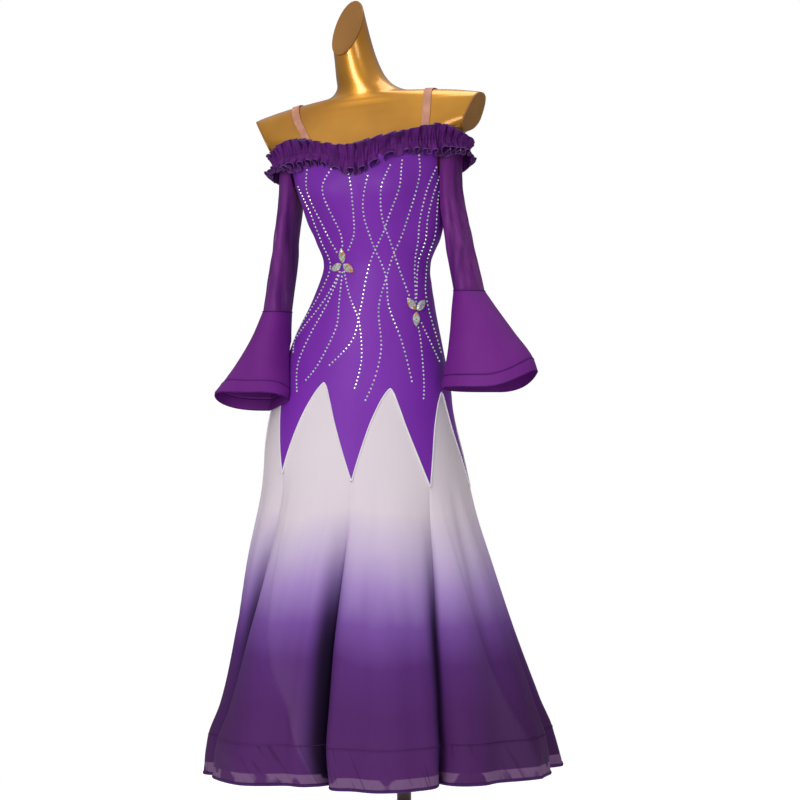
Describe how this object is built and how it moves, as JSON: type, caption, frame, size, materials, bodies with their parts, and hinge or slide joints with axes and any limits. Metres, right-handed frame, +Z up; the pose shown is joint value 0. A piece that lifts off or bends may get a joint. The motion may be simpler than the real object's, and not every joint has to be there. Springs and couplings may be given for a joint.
{
  "type": "ballroom dance dress on limbless dress form",
  "caption": "Full-length ballroom dance dress with pointed bodice, dip-dyed flared gore skirt, bell sleeves and neckline ruffle, worn by a limbless dress form on a pole",
  "frame": {"origin": "Centre of the base plate's underside, on the pole's axis, where the stand meets the floor.", "axes": "+Z up along the pole; the dress faces -Y; +X is the wearer's left. The wearer's hips lean a little to the wearer's right and the shoulders tilt back, so nothing but the stand is symmetric."},
  "size_m": [0.7055, 0.6299, 1.6221],
  "materials": {
    "violet_jersey": "smooth stretch jersey, soft sheen, vivid violet",
    "dyed_chiffon": "matt chiffon dip-dyed from off-white at the hip to deep purple at the hem",
    "band_chiffon": "matt chiffon, deep purple, a little sheer",
    "violet_net": "fine sheer stretch net, purple",
    "bell_crepe": "light opaque crepe, purple",
    "ruffle_chiffon": "gathered chiffon, dark violet, overlocked edges",
    "skin_elastic": "ribbed elastic, warm nude",
    "gold_lacquer": "glossy gold lacquer",
    "gold_cap": "satin brown gold",
    "dark_steel": "dark brown-grey satin metal",
    "crystal": "faceted stone with an iridescent coating"
  },
  "bodies": {
    "root": {"bodice_front": "violet_jersey", "bodice_back": "violet_jersey", "skirt_gore_1": "dyed_chiffon", "skirt_gore_2": "dyed_chiffon", "skirt_gore_3": "dyed_chiffon", "skirt_gore_4": "dyed_chiffon", "skirt_gore_5": "dyed_chiffon", "skirt_gore_6": "dyed_chiffon", "skirt_gore_7": "dyed_chiffon", "skirt_gore_8": "dyed_chiffon", "hem_band": "band_chiffon", "sleeve_upper_left": "violet_net", "sleeve_upper_right": "violet_net", "sleeve_bell_left": "bell_crepe", "sleeve_bell_right": "bell_crepe", "cuff_band_left": "bell_crepe", "cuff_band_right": "bell_crepe", "neckline_ruffle": "ruffle_chiffon", "shoulder_strap_left": "skin_elastic", "shoulder_strap_right": "skin_elastic", "dress_form": "gold_lacquer", "neck_cap": "gold_cap", "arm_cap_left": "gold_cap", "arm_cap_right": "gold_cap", "pole": "dark_steel", "pole_socket": "dark_steel", "base_plate": "dark_steel", "stone_flower_waist": "crystal", "stone_flower_hip": "crystal"}
  },
  "joints": []
}
